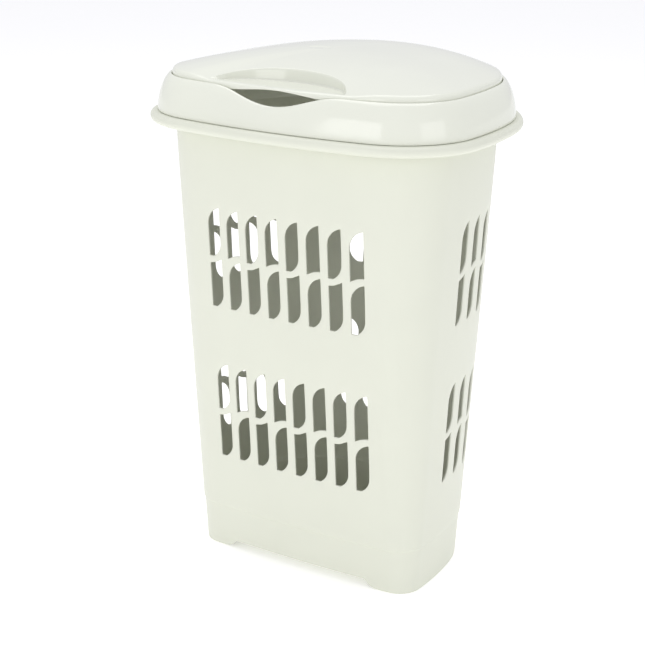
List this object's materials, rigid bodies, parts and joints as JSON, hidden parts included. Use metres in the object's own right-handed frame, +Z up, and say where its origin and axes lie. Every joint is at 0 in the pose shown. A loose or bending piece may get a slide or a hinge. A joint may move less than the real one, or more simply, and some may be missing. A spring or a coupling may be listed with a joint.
{
  "type": "laundry hamper with lid",
  "caption": "Tall ivory plastic hamper with a D-shaped tapered tub, slotted walls, a lift-off lid collar with a finger scoop, and a domed flap hinged at the back.",
  "frame": {"origin": "middle of the base at floor level", "axes": "+Z up; -Y towards the front, where the finger scoop is; +X to the right of someone facing the front"},
  "size_m": [0.4144, 0.3685, 0.609],
  "materials": {
    "tub_plastic": "satin, ivory",
    "lid_plastic": "gloss, ivory"
  },
  "bodies": {
    "tub": {"tub": "tub_plastic"},
    "collar": {"lid_collar": "lid_plastic"},
    "flap": {"lid_flap": "lid_plastic"}
  },
  "joints": [
    {"name": "collar_lift", "type": "slide", "parent": "tub", "child": "collar", "axis": [0, 0, 1], "range_m": [0, 0.08]},
    {"name": "flap_hinge", "type": "hinge", "parent": "collar", "child": "flap", "pos_m": [0, 0.1524, 0.5834], "axis": [-1, 0, 0], "range_deg": [0, 95]}
  ]
}
